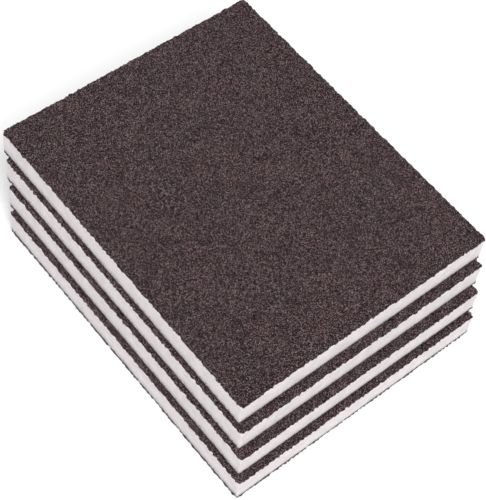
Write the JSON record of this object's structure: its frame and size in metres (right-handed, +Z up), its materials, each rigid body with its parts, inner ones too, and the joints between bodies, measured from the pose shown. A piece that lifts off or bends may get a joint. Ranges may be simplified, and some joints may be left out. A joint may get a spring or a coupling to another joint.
{
  "type": "sanding block",
  "caption": "Pile of flat rectangular foam sanding blocks, each a pale foam core coated on both faces with dark resin-bonded grit, stepped back from one another",
  "frame": {"origin": "centre of the underside of the lowest pad, on the surface that it rests on", "axes": "+Z up the pile, normal to the working faces; +Y along the 120 mm sides; +X along the 98 mm sides; the upper pads are stepped toward +X and +Y"},
  "size_m": [0.1029, 0.1291, 0.04],
  "materials": {
    "foam": "open-cell soft foam, cut faces with fine pores, off-white",
    "bond_resin": "cured binder film, dark brown-grey, dull",
    "grit": "coarse crushed aluminium-oxide grains, dark brown-grey with small glints"
  },
  "bodies": {
    "pad_1": {"pad_1_lower_grit_coat": "grit", "pad_1_lower_bond_coat": "bond_resin", "pad_1_foam_core": "foam"},
    "pad_1_face": {"pad_1_upper_bond_coat": "bond_resin", "pad_1_upper_grit_coat": "grit"},
    "pad_2": {"pad_2_lower_grit_coat": "grit", "pad_2_lower_bond_coat": "bond_resin", "pad_2_foam_core": "foam"},
    "pad_2_face": {"pad_2_upper_bond_coat": "bond_resin", "pad_2_upper_grit_coat": "grit"},
    "pad_3": {"pad_3_lower_grit_coat": "grit", "pad_3_lower_bond_coat": "bond_resin", "pad_3_foam_core": "foam"},
    "pad_3_face": {"pad_3_upper_bond_coat": "bond_resin", "pad_3_upper_grit_coat": "grit"},
    "pad_4": {"pad_4_lower_grit_coat": "grit", "pad_4_lower_bond_coat": "bond_resin", "pad_4_foam_core": "foam"},
    "pad_4_face": {"pad_4_upper_bond_coat": "bond_resin", "pad_4_upper_grit_coat": "grit"}
  },
  "joints": [
    {"name": "pad_1_press", "type": "slide", "parent": "pad_1", "child": "pad_1_face", "axis": [0, 0, -1], "range_m": [0, 0.003], "stiffness_N_per_m": 1200, "springref_m": -0.0015, "deforming": ["pad_1_foam_core"]},
    {"name": "pad_2_lift", "type": "slide", "parent": "pad_1_face", "child": "pad_2", "axis": [0, 0, 1], "range_m": [0, 0.02]},
    {"name": "pad_2_press", "type": "slide", "parent": "pad_2", "child": "pad_2_face", "axis": [0, 0, -1], "range_m": [0, 0.003], "stiffness_N_per_m": 1200, "springref_m": -0.0015, "deforming": ["pad_2_foam_core"]},
    {"name": "pad_3_lift", "type": "slide", "parent": "pad_2_face", "child": "pad_3", "axis": [0, 0, 1], "range_m": [0, 0.02]},
    {"name": "pad_3_press", "type": "slide", "parent": "pad_3", "child": "pad_3_face", "axis": [0, 0, -1], "range_m": [0, 0.003], "stiffness_N_per_m": 1200, "springref_m": -0.0015, "deforming": ["pad_3_foam_core"]},
    {"name": "pad_4_lift", "type": "slide", "parent": "pad_3_face", "child": "pad_4", "axis": [0, 0, 1], "range_m": [0, 0.02]},
    {"name": "pad_4_press", "type": "slide", "parent": "pad_4", "child": "pad_4_face", "axis": [0, 0, -1], "range_m": [0, 0.003], "stiffness_N_per_m": 1200, "springref_m": -0.0015, "deforming": ["pad_4_foam_core"]}
  ]
}
